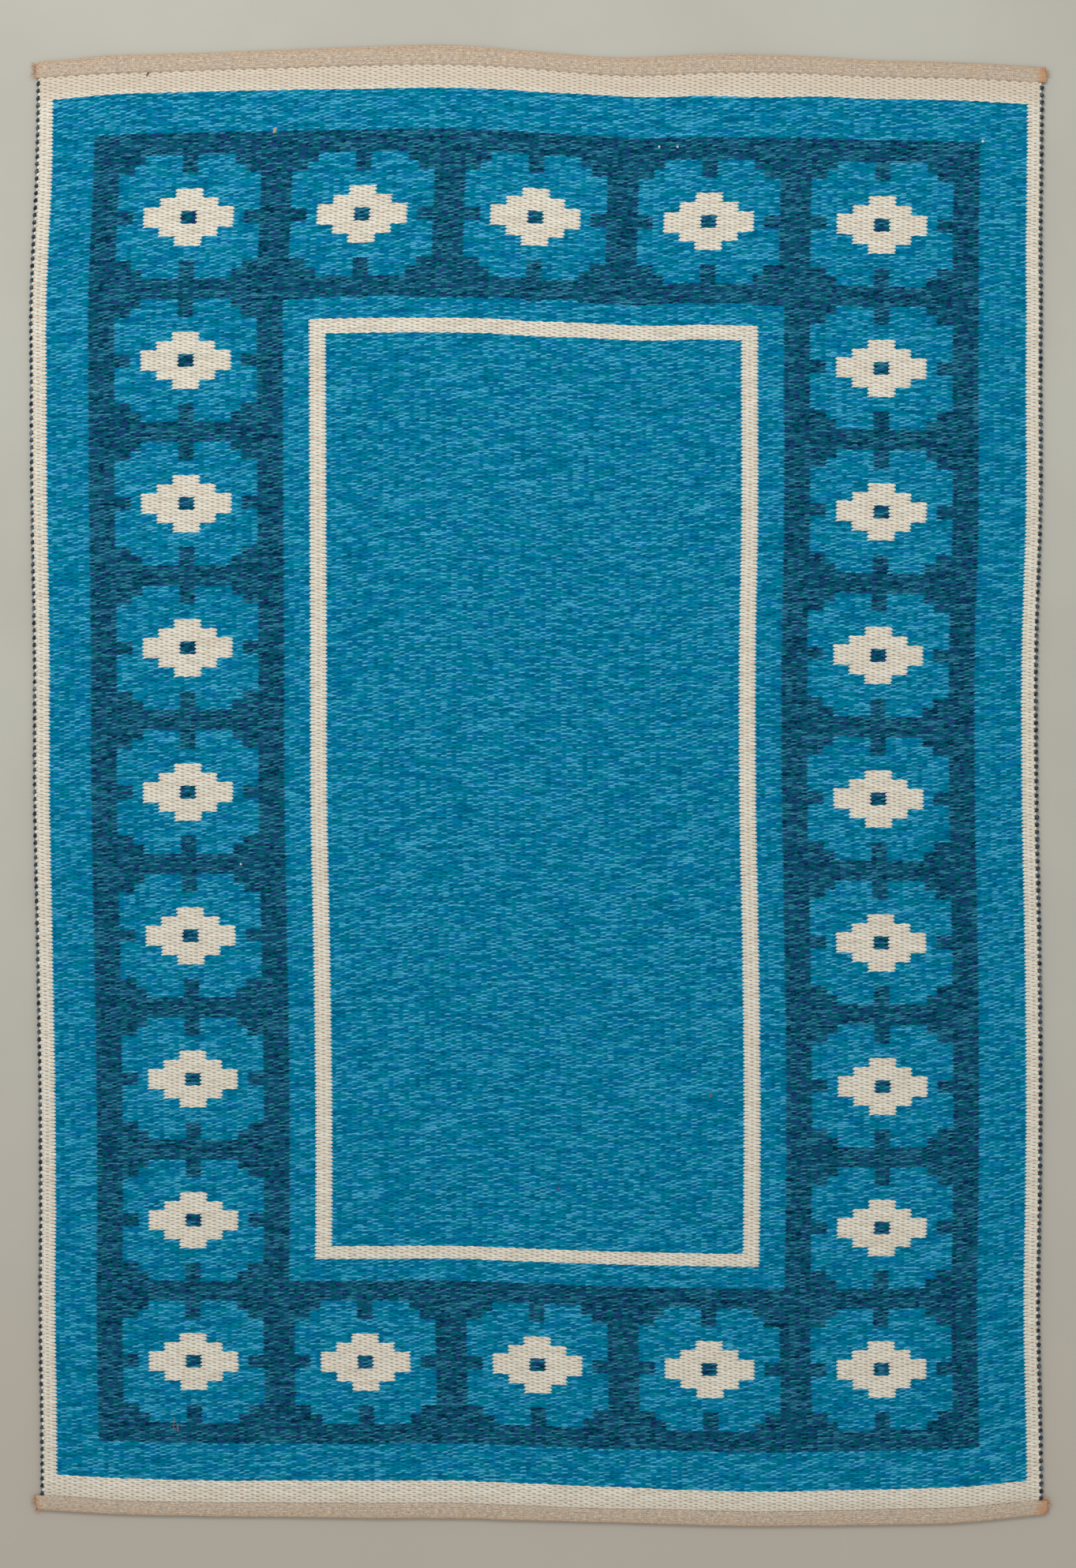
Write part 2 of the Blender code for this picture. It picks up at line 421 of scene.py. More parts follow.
def weft_lattice_group():
    """Which thread bead a place belongs to, and where in the bead it is.

    The weft comes up in beads, one to a warp and every second row, and the beads of neighbouring
    warps stand half a step apart, as bricks do. Each bead bulges a little into its neighbours'
    warps, and is made of two strands that lie side by side and rise a little to the right. A pit
    shows between every two beads of a warp. Level is the strand's own height in rows. Crown is the
    bead's height, which raises the bumps and sets the painted shade at the beads' edges and between
    strands, and the pit output marks where shade is painted in the pits.
    """
    wires, given, results = shader_group(
        "weft lattice",
        {
            "Threads": None,
            "Bulge": 0.21,
            "Slant": 0.30,
            "Unevenness": 0.36,
        },
        dict.fromkeys(("Reach", "Warp", "Row", "Level", "Across", "Crown", "Pit shade", "Core"), "value"),
    )
    threads = wires.part(given["Threads"])
    strays = wires.stray(wires.join(wires.times(threads[0], 0.8), wires.times(threads[1], 0.5)), 1.0)
    pushed = [wires.times(wires.take(strays[axis], 0.5), given["Unevenness"]) for axis in (0, 1)]
    warp_place = wires.add(wires.take(threads[0], 0.5), wires.times(pushed[0], 0.7))
    row_place = wires.add(wires.take(threads[1], 0.5), wires.times(pushed[1], 2.2))
    first = wires.math("FLOOR", warp_place)
    wave = wires.math("COSINE", wires.times(wires.take(row_place, first), math.pi))
    border = wires.add(wires.add(first, 0.5), wires.times(wave, given["Bulge"]))
    warp = wires.add(first, wires.above(warp_place, border))
    pairs = wires.math("ROUND", wires.times(wires.take(row_place, warp), 0.5))
    row = wires.add(warp, wires.times(pairs, 2.0))
    along = wires.take(warp_place, warp)
    rise = wires.take(row_place, row)
    across = wires.add(rise, wires.times(given["Slant"], along))
    strand = wires.above(across, 0.0)
    reach = wires.add(
        wires.times(wires.times(along, along), 1.7),
        wires.times(wires.times(rise, rise), 0.72),
    )
    swell = wires.math("SQRT", wires.most(wires.take(1.0, reach), 0.0))
    groove = wires.math("ABSOLUTE", wires.math("SINE", wires.times(across, math.pi)))
    crown_shading = wires.add(wires.times(swell, 0.55), wires.times(groove, 0.45))
    deep = wires.spread(wires.math("ABSOLUTE", rise), 0.52, 0.92)
    narrow = wires.spread(wires.math("ABSOLUTE", wires.add(along, wires.times(rise, 0.1))), 0.42, 0.10)
    wires.feed(results["Reach"], warp_place)
    wires.feed(results["Warp"], warp)
    wires.feed(results["Row"], row)
    wires.feed(results["Level"], wires.add(wires.add(row, strand), -0.5))
    wires.feed(results["Across"], across)
    wires.feed(results["Crown"], crown_shading)
    wires.feed(results["Pit shade"], wires.times(deep, narrow))
    wires.feed(results["Core"], groove)
    return wires.tree


def border_chart_group():
    """Which yarn lies on top at a bead: the cream, the dark, or else the blue."""
    wires, given, results = shader_group(
        "border chart",
        {"Warp": 0.0, "Row": 0.0},
        {"Cream": "value", "Dark": "value"},
    )
    warp = wires.add(given["Warp"], 0.5)
    row = wires.add(given["Row"], 0.5)
    yarns = {"cream": 1.0, "dark": 0.0}

    def lay(yarn, inside):
        for name in yarns:
            wanted = 1.0 if name == yarn else 0.0
            yarns[name] = wires.blend(inside, yarns[name], wanted)

    def between(place, low, high):
        return wires.times(wires.above(place, low), wires.below(place, high))

    def lay_bands(bands):
        for band in bands:
            across = between(warp, band.left, band.right)
            down = between(row, band.top, band.bottom)
            lay(band.yarn, wires.times(across, down))

    def from_motif(place, first, pitch, count):
        number = wires.math("ROUND", wires.math("DIVIDE", wires.take(place, first), pitch))
        number = wires.math("MINIMUM", wires.most(number, 0.0), count - 1.0)
        middle = wires.add(wires.times(number, pitch), first)
        return wires.math("ABSOLUTE", wires.take(place, middle))

    def within(step):
        return wires.times(wires.below(out_warps, step.warps), wires.below(out_rows, step.rows))

    def stepped(steps):
        shape = within(steps[0])
        for step in steps[1:]:
            shape = wires.most(shape, within(step))
        return shape

    lay_bands(OUTER_BANDS)
    out_warps = from_motif(warp, FIRST_MOTIF_WARP, MOTIF_WARPS, MOTIFS_ACROSS)
    out_rows = from_motif(row, FIRST_MOTIF_ROW, MOTIF_ROWS, MOTIFS_ALONG)
    medallion = stepped(MEDALLION)
    lay("blue", medallion)
    upright_tick = wires.times(wires.below(out_warps, EYE.warps), wires.above(out_rows, TICK_START.rows))
    side_tick = wires.times(wires.above(out_warps, TICK_START.warps), wires.below(out_rows, EYE.rows))
    lay("dark", wires.times(medallion, wires.most(upright_tick, side_tick)))
    lay("cream", stepped(LOZENGE))
    lay("dark", within(EYE))
    lay_bands(INNER_BANDS)
    wires.feed(results["Cream"], yarns["cream"])
    wires.feed(results["Dark"], yarns["dark"])
    return wires.tree


def marled_yarn_group():
    """The colour of a weft of two marled strands.

    The tone runs along each strand, partly shared with the strand of the neighbouring warps at the
    same level, which makes broken streaks along the rows. The tint drifts up to the right. Shade is
    painted in as well: in each bead the strand towards the near end is darker than the one towards the
    far end, the furrows between strands are darker, and the light strand keeps to the strands' ridges.
    """
    wires, given, results = shader_group(
        "marled yarn",
        {
            "Reach": 0.0,
            "Warp": 0.0,
            "Row": 0.0,
            "Level": 0.0,
            "Across": 0.0,
            "Shade strand": (0.1, 0.1, 0.1),
            "Main strand": (0.5, 0.5, 0.5),
            "Light strand": (0.8, 0.8, 0.8),
            "Warm strand": (0.5, 0.5, 0.5),
            "Cool strand": (0.5, 0.5, 0.5),
            "Core": 1.0,
            "Streak": 8.0,
            "Shared": 1.15,
            "Chance": 0.66,
            "Lower strand shade": 0.3,
            "Furrow": 0.84,
            "Tint": 0.5,
            "Tint step": 0.27,
            "Seed": 0.0,
        },
        {"Colour": "colour"},
    )
    reach = given["Reach"]
    level = given["Level"]
    seed = given["Seed"]
    along = wires.math("DIVIDE", wires.add(reach, wires.times(level, 0.6)), given["Streak"])
    line = wires.times(wires.add(level, wires.times(reach, 0.2)), 0.9)
    shared = wires.cloud(wires.join(along, line, seed))
    bead = wires.chance(wires.join(given["Warp"], level, seed))
    lower = wires.take(level, given["Row"])
    ply = wires.add(wires.times(given["Across"], 8.0), wires.times(reach, 6.0))
    ply = wires.math("SINE", wires.add(ply, wires.times(bead, 6.3)))
    tone = wires.times(wires.take(shared, 0.5), given["Shared"])
    tone = wires.add(tone, wires.times(wires.take(bead, 0.5), given["Chance"]))
    # Painted light and shade: in each bead the strand towards the near end is made darker and the strand
    # towards the far end lighter.
    tone = wires.take(tone, wires.times(lower, given["Lower strand shade"]))
    tone = wires.add(tone, wires.times(ply, 0.05))
    colour = wires.mix(wires.spread(tone, -0.42, 0.02), given["Shade strand"], given["Main strand"])
    drift = wires.add(reach, wires.times(level, 0.5))
    blush = wires.cloud(
        wires.join(
            wires.times(drift, given["Tint step"]),
            wires.times(level, wires.times(given["Tint step"], 0.9)),
            wires.add(seed, 5.0),
        ),
        detail=1.0,
    )
    warm = wires.times(wires.spread(blush, 0.50, 0.66), given["Tint"])
    cool = wires.times(wires.spread(blush, 0.50, 0.34), given["Tint"])
    colour = wires.mix(warm, colour, given["Warm strand"])
    colour = wires.mix(cool, colour, given["Cool strand"])
    # Painted shade: the darker strands are shaded as if lying deeper, and the furrows between strands
    # are darker still.
    depth = wires.spread(tone, -0.42, 0.02, given["Furrow"], 1.0)
    depth = wires.times(depth, wires.spread(given["Core"], 0.0, 0.7, given["Furrow"], 1.03))
    colour = wires.shade(colour, depth)
    # The light strand shows on each strand's ridge and fades towards the furrows: painted shade in the
    # furrows.
    ridge = wires.spread(given["Core"], 0.2, 0.8, 0.25, 1.0)
    bright = wires.times(wires.spread(tone, 0.03, 0.46), ridge)
    colour = wires.mix(bright, colour, given["Light strand"])
    wires.feed(results["Colour"], colour)
    return wires.tree


def wool_fibre_group():
    """The fine hairiness of wool yarn: a value about 0.5 that follows fibres a fraction of a
    millimetre thick."""
    wires, given, results = shader_group(
        "wool fibre",
        {"Place": None, "Fineness": 900.0},
        {"Fibre": "value"},
    )
    place = wires.part(given["Place"])
    bent = wires.cloud(given["Place"], 60.0)
    stretched = wires.join(
        wires.times(place[0], 0.3),
        wires.add(place[1], wires.times(bent, 0.002)),
        wires.times(place[2], 0.6),
    )
    wires.feed(results["Fibre"], wires.cloud(stretched, given["Fineness"], detail=2.0))
    return wires.tree


def plain_weave_group():
    """Over-and-under weave of single threads, as height, pits and which thread lies on top."""
    wires, given, results = shader_group(
        "plain weave",
        {"Place": None, "Pitch": 0.0023},
        {"Height": "value", "Thread": "value", "Cell": "vector"},
    )
    place = wires.part(given["Place"])
    counts = [wires.math("DIVIDE", place[axis], given["Pitch"]) for axis in (0, 1)]
    cells = [wires.math("FLOOR", count) for count in counts]
    rests = [
        wires.take(wires.times(wires.take(count, cell), 2.0), 1.0)
        for count, cell in zip(counts, cells)
    ]
    odd = wires.math("PINGPONG", wires.add(cells[0], cells[1]), 1.0)
    squares = [wires.times(rest, rest) for rest in rests]
    upright = wires.times(
        wires.take(1.0, squares[0]),
        wires.take(1.0, wires.times(squares[1], 0.55)),
    )
    level = wires.times(
        wires.take(1.0, squares[1]),
        wires.take(1.0, wires.times(squares[0], 0.55)),
    )
    wires.feed(results["Height"], wires.blend(odd, upright, level))
    wires.feed(results["Thread"], odd)
    wires.feed(results["Cell"], wires.join(cells[0], cells[1], odd))
    return wires.tree


def fleck_mask_group():
    """A small soft-edged leaning oval."""
    wires, given, results = shader_group(
        "fleck mask",
        {
            "Place": None,
            "Middle": None,
            "Half size": None,
            "Lean": 0.0,
        },
        {"Mask": "value"},
    )
    vector_math = "ShaderNodeVectorMath"
    moved = wires.fit(vector_math, {0: given["Place"], 1: given["Middle"]}, operation="SUBTRACT")
    turned = wires.fit(
        "ShaderNodeVectorRotate", {"Vector": moved, "Angle": given["Lean"]}, rotation_type="Z_AXIS"
    )
    scaled = wires.fit(vector_math, {0: turned, 1: given["Half size"]}, operation="DIVIDE")
    reach = wires.fit(vector_math, {0: scaled}, operation="LENGTH")
    wires.feed(results["Mask"], wires.spread(reach.outputs["Value"], 1.2, 0.8))
    return wires.tree


WEFT_LATTICE = weft_lattice_group()
FLECK_MASK = fleck_mask_group()
BORDER_CHART = border_chart_group()
MARLED_YARN = marled_yarn_group()
WOOL_FIBRE = wool_fibre_group()
PLAIN_WEAVE = plain_weave_group()

# The strands of each yarn
Strands = namedtuple("Strands", "shade main light warm cool")
BLUE_YARN = Strands(
    srgb(0, 97, 134), srgb(0, 121, 157), srgb(74, 170, 206), srgb(0, 129, 148), srgb(12, 110, 168)
)
DARK_YARN = Strands(
    srgb(2, 36, 62), srgb(13, 78, 107), srgb(54, 130, 156), srgb(0, 98, 102), srgb(34, 62, 118)
)
CREAM_YARN = Strands(
    srgb(200, 192, 175),
    srgb(217, 212, 197),
    srgb(228, 225, 213),
    srgb(217, 205, 188),
    srgb(208, 212, 201),
)
END_CREAM = srgb(202, 189, 170)
TURNED_YARN = Strands(
    srgb(34, 46, 60), srgb(56, 72, 88), srgb(104, 122, 136), srgb(56, 72, 88), srgb(56, 72, 88)
)


def new_material(name, roughness, sheen, specular=0.06):
    """A material with its plain numbers set on the shader itself."""
    material = bpy.data.materials.new(name)
    material.use_nodes = True
    wires = Wiring(material.node_tree)
    shader = material.node_tree.nodes["Principled BSDF"]
    shader.inputs["Roughness"].default_value = roughness
    shader.inputs["Specular IOR Level"].default_value = specular
    shader.inputs["Sheen Weight"].default_value = sheen
    shader.inputs["Sheen Roughness"].default_value = 0.45
    return material, wires, shader.inputs


def yarn_colour(wires, bead, strands, **looks):
    """The colour of one of the three yarns at a bead."""
    return wires.group(
        MARLED_YARN,
        reach=bead["Reach"],
        warp=bead["Warp"],
        row=bead["Row"],
        level=bead["Level"],
        across=bead["Across"],
        core=bead["Core"],
        shade_strand=strands.shade,
        main_strand=strands.main,
        light_strand=strands.light,
        warm_strand=strands.warm,
        cool_strand=strands.cool,
        **looks,
    )["Colour"]


def double_weave_material():
    """The cloth itself. Its under face shows the layer that its upper face hides."""
    material, wires, shader = new_material("double woven wool", 0.9, 0.0, 0.0)
    threads = wires.node("ShaderNodeUVMap", uv_map="threads").outputs[0]
    place = wires.node("ShaderNodeTexCoord").outputs["Object"]
    upper = wires.node("ShaderNodeAttribute", attribute_name="upper").outputs["Fac"]
    bead = wires.group(WEFT_LATTICE, threads=threads)
    chart = wires.group(BORDER_CHART, warp=bead["Warp"], row=bead["Level"])
    blue = yarn_colour(wires, bead, BLUE_YARN, furrow=0.86, tint=0.5, tint_step=0.27, seed=1.0)
    dark = yarn_colour(wires, bead, DARK_YARN, furrow=0.84, tint=0.85, tint_step=0.75, seed=2.0)
    cream = yarn_colour(
        wires, bead, CREAM_YARN, chance=0.4, furrow=0.94, tint=0.5, tint_step=0.4, seed=3.0
    )
    from_far_end = wires.spread(bead["Level"], 15.0, 6.0, 0.0, 0.7)
    from_near_end = wires.spread(bead["Level"], ROWS - 9.0, ROWS - 3.0, 0.0, 0.35)
    cream = wires.mix(wires.add(from_far_end, from_near_end), cream, END_CREAM)
    on_top = wires.mix(chart["Dark"], blue, dark)
    on_top = wires.mix(chart["Cream"], on_top, cream)
    beneath = wires.mix(chart["Dark"], dark, blue)
    facing = wires.above(upper, 0.5)
    colour = wires.mix(facing, beneath, on_top)
    # Painted shade at the beads' edges and between their strands, with a slight painted lightening on
    # the bead crowns.
    crown_shading = wires.spread(bead["Crown"], 0.15, 0.8, 0.88, 1.02)
    colour = wires.shade(colour, crown_shading)
    # Painted shade in the pits between beads: dark navy in the blue and dark yarns, brownish taupe where
    # the cream lies on top.
    cream_on_top = wires.times(chart["Cream"], facing)
    painted_pit_colour = wires.mix(cream_on_top, srgb(0, 56, 80), srgb(150, 124, 100))
    painted_pit_shade = wires.times(bead["Pit shade"], wires.spread(cream_on_top, 0.0, 1.0, 0.4, 0.85))
    colour = wires.mix(painted_pit_shade, colour, painted_pit_colour)
    fibre = wires.group(WOOL_FIBRE, place=place)["Fibre"]
    fluff = wires.spread(fibre, 0.3, 0.7, 0.92, 1.08)
    colour = wires.shade(colour, fluff)
    for fleck in FLECKS:
        spot = wires.group(
            FLECK_MASK,
            place=place,
            middle=(fleck.x * MM, fleck.y * MM, 0.0),
            half_size=(fleck.half_width * MM, fleck.half_height * MM, 1.0),
            lean=math.radians(fleck.lean),
        )["Mask"]
        colour = wires.mix(wires.times(spot, wires.times(facing, 0.85)), colour, srgb(*fleck.colour))
    wires.feed(shader["Base Color"], colour)
    wires.feed(shader["Roughness"], wires.spread(fibre, 0.3, 0.7, 0.84, 0.95))
    height = wires.add(bead["Crown"], wires.times(fibre, 0.25))
    wires.feed(shader["Normal"], wires.raise_bumps(height, 0.9 * MM))
    return material


def turn_material(name, strands, pit):
    """The same yarns where they turn round the selvedge."""
    material, wires, shader = new_material(name, 0.9, 0.0, 0.03)
    place = wires.node("ShaderNodeTexCoord").outputs["Object"]
    spot = wires.cloud(place, 160.0, detail=1.0)
    colour = wires.mix(wires.spread(spot, 0.35, 0.55), strands.shade, strands.main)
    colour = wires.mix(wires.spread(spot, 0.55, 0.75), colour, strands.light)
    fibre = wires.group(WOOL_FIBRE, place=place)["Fibre"]
    fluff = wires.spread(fibre, 0.3, 0.7, 1.0 - pit, 1.0 + pit)
    colour = wires.shade(colour, fluff)
    wires.feed(shader["Base Color"], colour)
    wires.feed(shader["Normal"], wires.raise_bumps(fibre, 0.5 * MM))
    return material


def heading_material():
    """Beige tape in a fuzzy plain weave, rustier at its folded edge and at its two raw ends."""
    material, wires, shader = new_material("heading tape", 0.9, 0.0, 0.03)
    tape = wires.node("ShaderNodeUVMap", uv_map="tape").outputs[0]
    place = wires.node("ShaderNodeTexCoord").outputs["Object"]
    strays = wires.stray(tape, 260.0)
    run = wires.part(tape)
    bent = wires.join(
        wires.add(run[0], wires.times(wires.take(strays[0], 0.5), 3.4 * MM)),
        wires.add(run[1], wires.times(wires.take(strays[1], 0.5), 2.6 * MM)),
    )
    weave = wires.group(PLAIN_WEAVE, place=bent, pitch=2.6 * MM)
    thread = wires.chance(weave["Cell"])
    cell = wires.part(weave["Cell"])
    lengthwise = wires.chance(wires.join(cell[1], 3.0, 0.0))
    blotch = wires.cloud(tape, 45.0, detail=2.0)
    nep = wires.cloud(wires.join(wires.times(run[0], 0.4), run[1]), 460.0, detail=3.0)
    colour = wires.mix(wires.spread(blotch, 0.35, 0.65), srgb(183, 169, 153), srgb(190, 171, 149))
    colour = wires.mix(wires.times(weave["Thread"], 0.3), colour, srgb(176, 160, 142))
    colour = wires.mix(wires.times(thread, 0.4), colour, srgb(214, 200, 182))
    colour = wires.mix(wires.times(lengthwise, 0.25), colour, srgb(166, 144, 118))
    colour = wires.mix(wires.spread(nep, 0.52, 0.70, 0.0, 0.7), colour, srgb(222, 208, 190))
    colour = wires.mix(wires.spread(nep, 0.48, 0.30, 0.0, 0.7), colour, srgb(150, 130, 108))
    fold = wires.node("ShaderNodeAttribute", attribute_name="fold").outputs["Fac"]
    colour = wires.mix(wires.times(wires.spread(fold, 0.6, 1.0), 0.3), colour, srgb(186, 148, 112))
    from_middle = wires.math("ABSOLUTE", wires.part(place)[0])
    ragged = wires.take(wires.cloud(place, 140.0, detail=2.0), 0.5)
    ragged = wires.add(from_middle, wires.times(ragged, 0.02))
    rust = wires.times(wires.spread(ragged, 0.672, 0.694), wires.spread(nep, 0.3, 0.6, 0.45, 0.9))
    colour = wires.mix(rust, colour, srgb(192, 134, 86))
    # Painted shade in the weave's hollows, where the threads dip under each other.
    weave_hollow_shade = wires.spread(weave["Height"], 0.0, 0.7, 0.86, 1.02)
    colour = wires.shade(colour, weave_hollow_shade)
    wires.feed(shader["Base Color"], colour)
    fibre = wires.group(WOOL_FIBRE, place=place)["Fibre"]
    height = wires.add(weave["Height"], wires.times(fibre, 0.3))
    wires.feed(shader["Normal"], wires.raise_bumps(height, 0.5 * MM))
    return material


def rust_material():
    """The loose rust-coloured ends at the rug's corners."""
    material, wires, shader = new_material("rust warp ends", 0.85, 0.1)
    place = wires.node("ShaderNodeTexCoord").outputs["Object"]
    tone = wires.cloud(place, 320.0, detail=1.0)
    colour = wires.mix(wires.spread(tone, 0.3, 0.5), srgb(128, 78, 42), srgb(196, 136, 88))
    colour = wires.mix(wires.spread(tone, 0.5, 0.72), colour, srgb(228, 186, 140))
    wires.feed(shader["Base Color"], colour)
    return material


def floor_material():
    """A plain pale floor, with painted shade in front of the rug, which makes it a little darker and
    warmer there.
    """
    material, wires, shader = new_material("pale floor", 0.75, 0.0)
    place = wires.node("ShaderNodeTexCoord").outputs["Object"]
    cloudy = wires.cloud(place, 3.0, detail=4.0)
    colour = wires.mix(wires.spread(cloudy, 0.35, 0.65), srgb(175, 173, 164), srgb(180, 179, 169))
    # Painted shade: the floor turns a little darker and warmer towards the near side.
    near_side_shade = wires.spread(wires.part(place)[1], -0.1, -1.1)
    colour = wires.mix(wires.times(near_side_shade, 0.85), colour, srgb(175, 167, 156))
    wires.feed(shader["Base Color"], colour)
    return material


def cloth_columns():
    """Warp numbers across the flat of the cloth, one to a warp."""
    return [warp + 0.5 for warp in range(1, WARPS - 1)]


def cloth_level(row):
    """How thick the cloth is at a row: it rounds off into the headings."""
    from_end = min(row, ROWS - row)
    fade = min(from_end / 3.0, 1.0)
    rounding = math.sqrt(max(1 - (1 - fade) ** 2, 0.0))
    return CLOTH_THICKNESS * (0.68 + 0.32 * rounding)


def make_cloth(material):
    """The double cloth as one closed shell, with a thin tongue inside each heading."""
    radius = CLOTH_THICKNESS / 2
    end_rows = [0.0, 0.12, 0.4, 0.9, 1.6, 2.6]
    rows = [*end_rows, *range(ROWS_PER_RING, ROWS, ROWS_PER_RING)]
    rows += [ROWS - row for row in reversed(end_rows)]
    turn = [math.radians(90 * (i + 0.5) / 5) for i in range(5)]
    flat = cloth_columns()
    points = []
    threads = []
    upper = []

    def add_ring(row, low, high, inset, push):
        middle = (low + high) / 2
        half = (high - low) / 2
        left_x = float(thread_place(0.0, row)[0])
        right_x = float(thread_place(float(WARPS), row)[0])
        pitch = (right_x - left_x) / WARPS
        side = [(1 - math.cos(math.pi / 2 - a)) * radius / pitch for a in turn]
        start = (inset - LEFT_MARGIN) / pitch
        stop = WARPS - inset / pitch
        bend = [(s, math.sqrt(max(0.0, 1 - (1 - s * pitch / radius) ** 2))) for s in side]
        bend.sort()
        rounded = radius / pitch
        lower = [(start + s, middle - half * h) for s, h in bend]
        lower += [(start + rounded, low)] + [(u, low) for u in flat] + [(stop - rounded, low)]
        lower += [(stop - s, middle - half * h) for s, h in reversed(bend)]
        ring = lower + [(u, 2 * middle - z) for u, z in reversed(lower)]
        warps = np.array([u for u, z in ring])
        x, y = thread_place(warps, np.full(len(ring), float(row)))
        half_way = len(lower)
        for number, (u, z) in enumerate(ring):
            is_upper = number >= half_way
            lift = 0.0
            if is_upper and high > CLOTH_THICKNESS * 0.9:
                lift = 0.3 * MM * ripple((x[number], y[number]), 14.0, 3.1)
                lift *= min(1.0, min(u, WARPS - u) / 2)
            scallop = 0.0
            if min(row, ROWS - row) < 2:
                scallop = 0.5 * MM if int(u) % 2 == 0 else -0.5 * MM
                scallop *= 1 if row < ROWS / 2 else -1
            points.append((x[number], y[number] + push + scallop, z + lift))
            threads.append((u, row))
            upper.append(1.0 if is_upper else 0.0)
        return len(ring)

    tongue = (TONGUE_LOW, TONGUE_HIGH, TONGUE_SIDE_INSET)
    around = add_ring(0.0, *tongue, TONGUE_REACH)
    add_ring(0.0, *tongue, 0.0)
    for row in rows:
        add_ring(row, 0.0, cloth_level(row), SIDE_INSET, 0.0)
    add_ring(float(ROWS), *tongue, 0.0)
    add_ring(float(ROWS), *tongue, -TONGUE_REACH)
    faces = tube_faces(len(points) // around, around)
    return mesh_piece("woven_cloth", points, faces, material, {"threads": threads}, {"upper": upper})


def heading_section(depth, corner_inset, puff):
    """The folded tape in section, as (distance in from the fold, height, nearness to the fold)."""
    radius = HEADING_THICKNESS / 2
    inner_radius = radius - TAPE_THICKNESS
    centre = radius + corner_inset
    spans = 7
    turn = [math.radians(90 + 180 * i / 8) for i in range(9)]
    flat = [depth - (depth - centre) * i / spans for i in range(spans)]

    def dome(distance):
        share = (distance - centre) / (depth - centre)
        return puff * math.sin(math.pi * share) - 0.5 * MM * max(0.0, share - 0.75) * 4

    outside = [(d, HEADING_THICKNESS + dome(d), 1 - d / depth) for d in flat]
    outside += [(centre + radius * math.cos(a), radius + radius * math.sin(a), 1.0) for a in turn]
    outside += [(d, 0.0, 1 - d / depth) for d in reversed(flat)]
    inside = [(d, HEADING_THICKNESS - TAPE_THICKNESS + dome(d), 0.0) for d in flat]
    inside += [
        (centre + inner_radius * math.cos(a), radius + inner_radius * math.sin(a), 0.0) for a in turn
    ]
    inside += [(d, TAPE_THICKNESS, 0.0) for d in reversed(flat)]
    return outside + inside[::-1]


def make_heading(name, fold_line, towards_middle, row, overhangs, seed, material):
    """A strip of tape folded lengthwise over the pressed end of the cloth, a little puckered."""
    cloth_end = float(fold_line(np.array(0.0))) + towards_middle * HEADING_DEPTH
    left = float(left_edge(np.array(cloth_end))) - overhangs[0]
    right = float(right_edge(np.array(cloth_end))) + overhangs[1]
    warps = np.arange(0.0, WARPS + 1.0)
    row_x, row_y = thread_place(warps, np.full(len(warps), float(row)))
    spans = 380
    corner_steps = 6
    places = []
    for i in range(corner_steps):
        angle = math.radians(90 * i / corner_steps)
        inset = CORNER_RADIUS * (1 - math.sin(angle))
        places.append((left + CORNER_RADIUS * (1 - math.cos(angle)), inset))
    step = (right - left - 2 * CORNER_RADIUS) / spans
    middle = [(left + CORNER_RADIUS + i * step, 0.0) for i in range(spans + 1)]
    places = places + middle + [(right - (x - left), inset) for x, inset in reversed(places)]
    points = []
    tape = []
    fold_share = []
    around = 0
    for x, inset in places:
        puff = 0.25 * MM + 0.25 * MM * ripple((x, seed), 38.0, seed)
        waver = 0.6 * MM * ripple((x, seed), 24.0, seed + 7.0)
        fold = float(fold_line(np.array(x)))
        depth = (float(np.interp(x, row_x, row_y)) - fold) * towards_middle
        section = heading_section(depth, inset, puff)
        around = len(section)
        run = 0.0
        before = section[0]
        for number, (distance, height, share) in enumerate(section):
            run += math.hypot(distance - before[0], height - before[1])
            before = (distance, height)
            kept = 1 - distance / depth
            points.append((x, fold + towards_middle * distance + waver * kept, height))
            tape.append((x, run))
            fold_share.append(share)
    faces = tube_faces(len(places), around)
    if towards_middle > 0:
        faces = [tuple(reversed(face)) for face in faces]
    return mesh_piece(name, points, faces, material, {"tape": tape}, {"fold": fold_share})


# Geometry Nodes: the weft turns and the loose ends


def geometry_tree(name, given):
    """A named Geometry Nodes tree, open for wiring like a shader group."""
    tree = bpy.data.node_groups.new(name, "GeometryNodeTree")
    tree.interface.new_socket("Geometry", in_out="INPUT", socket_type="NodeSocketGeometry")
    tree.interface.new_socket("Geometry", in_out="OUTPUT", socket_type="NodeSocketGeometry")
    kinds = {float: "NodeSocketFloat", int: "NodeSocketInt", None: "NodeSocketMaterial"}
    for label, default in given.items():
        kind = kinds[None] if default is None else kinds[type(default)]
        socket = tree.interface.new_socket(label, in_out="INPUT", socket_type=kind)
        if default is not None:
            socket.default_value = default
    wires = Wiring(tree)
    return wires, wires.node("NodeGroupInput").outputs, wires.node("NodeGroupOutput").inputs


def yarn_along(wires, path, sides, radius):
    """A round yarn with closed ends along a curve."""
    profile = wires.fit("GeometryNodeCurvePrimitiveCircle", {"Resolution": sides, "Radius": radius})
    return wires.fit(
        "GeometryNodeCurveToMesh", {"Curve": path, "Profile Curve": profile, "Fill Caps": True}
    )


def lay_out(wires, results, points, shape, turn, size, material):
    """Lay a shape on every point, turned and sized, as one smooth mesh of a material."""
    turned = wires.fit("FunctionNodeEulerToRotation", {0: turn})
    laid = wires.fit(
        "GeometryNodeInstanceOnPoints",
        {"Points": points, "Instance": shape, "Rotation": turned, "Scale": size},
    )
    real = wires.fit("GeometryNodeRealizeInstances", {0: laid})
    smooth = wires.fit("GeometryNodeSetShadeSmooth", {"Geometry": real})
    dressed = wires.fit("GeometryNodeSetMaterial", {"Geometry": smooth, "Material": material})
    wires.feed(results["Geometry"], dressed)


